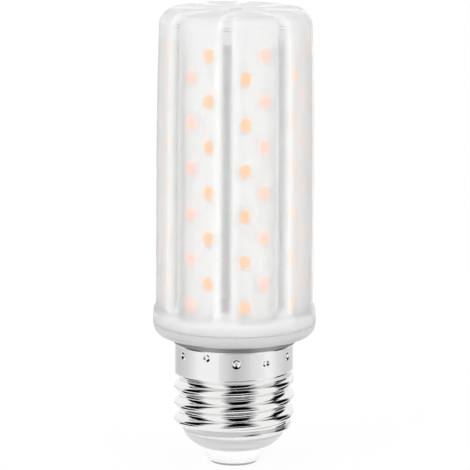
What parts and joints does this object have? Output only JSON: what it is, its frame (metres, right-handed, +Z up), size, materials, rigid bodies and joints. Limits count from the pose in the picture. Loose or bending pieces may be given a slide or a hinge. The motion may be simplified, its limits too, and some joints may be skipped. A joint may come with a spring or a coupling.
{
  "type": "led bulb",
  "caption": "Tubular LED bulb with a frosted fluted cover over strips of surface-mounted LEDs, a white collar housing and an E27 screw cap",
  "frame": {"origin": "the middle of the centre contact's lower face, at the lamp's foot", "axes": "+Z runs up the lamp's axis from the cap to the crown, -Y is the side that the picture shows, +X is to its right"},
  "size_m": [0.0354, 0.0354, 0.0998],
  "materials": {
    "nickel_plated_shell": "bright nickel plate on pressed brass sheet",
    "contact_metal": "plated contact disc",
    "insulator": "white moulded insulator",
    "white_housing": "smooth white moulding",
    "frosted_cover": "milky translucent moulding, satin",
    "white_board": "white solder mask on an aluminium strip",
    "led_phosphor": "orange yellow phosphor in a white frame",
    "driver_laminate": "green glass laminate",
    "resistor_coat": "blue lacquer",
    "black_moulding": "black moulding",
    "capacitor_can": "dark sleeve on an aluminium can",
    "film_coat": "red brown dip coat",
    "ferrite": "dark ferrite",
    "copper": "enamelled copper wire",
    "dark_wire": "black insulation",
    "light_wire": "white insulation",
    "red_wire": "red insulation"
  },
  "bodies": {
    "root": {"screw_shell": "nickel_plated_shell", "centre_contact": "contact_metal", "cap_insulator": "insulator", "base_housing": "white_housing", "cover": "frosted_cover", "led_board_1": "white_board", "led_board_2": "white_board", "led_board_3": "white_board", "led_board_4": "white_board", "led_board_5": "white_board", "led_board_6": "white_board", "led_board_7": "white_board", "led_board_8": "white_board", "led_group_1": "led_phosphor", "led_group_2": "led_phosphor", "led_group_3": "led_phosphor", "led_group_4": "led_phosphor", "led_group_5": "led_phosphor", "led_group_6": "led_phosphor", "led_group_7": "led_phosphor", "led_group_8": "led_phosphor", "top_link_board": "white_board", "bottom_link_board": "white_board", "driver_board": "driver_laminate", "fuse_resistor": "resistor_coat", "bridge_rectifier": "black_moulding", "bulk_capacitor": "capacitor_can", "film_capacitor": "film_coat", "choke_core": "ferrite", "choke_winding": "copper", "driver_chip": "black_moulding", "sense_resistor": "black_moulding", "live_wire": "dark_wire", "neutral_wire": "light_wire", "led_wire_positive": "red_wire", "led_wire_negative": "light_wire"}
  },
  "joints": []
}
